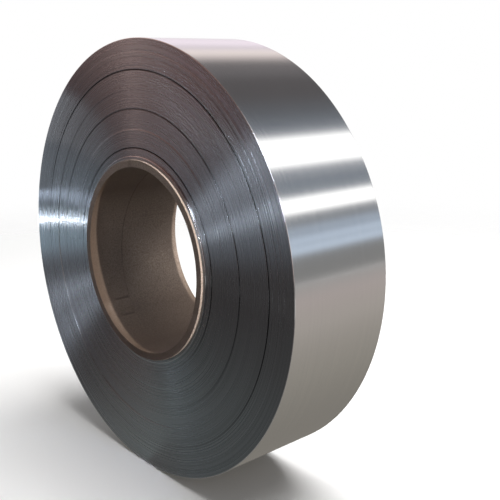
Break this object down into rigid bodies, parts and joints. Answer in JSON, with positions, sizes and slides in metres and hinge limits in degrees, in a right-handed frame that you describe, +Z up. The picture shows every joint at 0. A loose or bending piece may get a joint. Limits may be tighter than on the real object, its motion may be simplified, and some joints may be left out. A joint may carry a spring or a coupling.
{
  "type": "aluminium strip coil",
  "caption": "Coil of mill-finish aluminium strip wound tight on a kraft paper core, lying on its rim, with its lap edges showing on both ends.",
  "frame": {"origin": "on the floor under the middle of the coil, which lies on its rim", "axes": "+Z up, +Y along the coil's axis towards its back end, so that the proud end of the core faces -Y"},
  "size_m": [0.7005, 0.19, 0.7003],
  "materials": {
    "aluminium_strip": "mill finish, rolled and slit",
    "core_paper": "spiral-wound kraft paper, sawn ends"
  },
  "bodies": {
    "root": {"strip_coil": "aluminium_strip", "core_tube": "core_paper"}
  },
  "joints": []
}
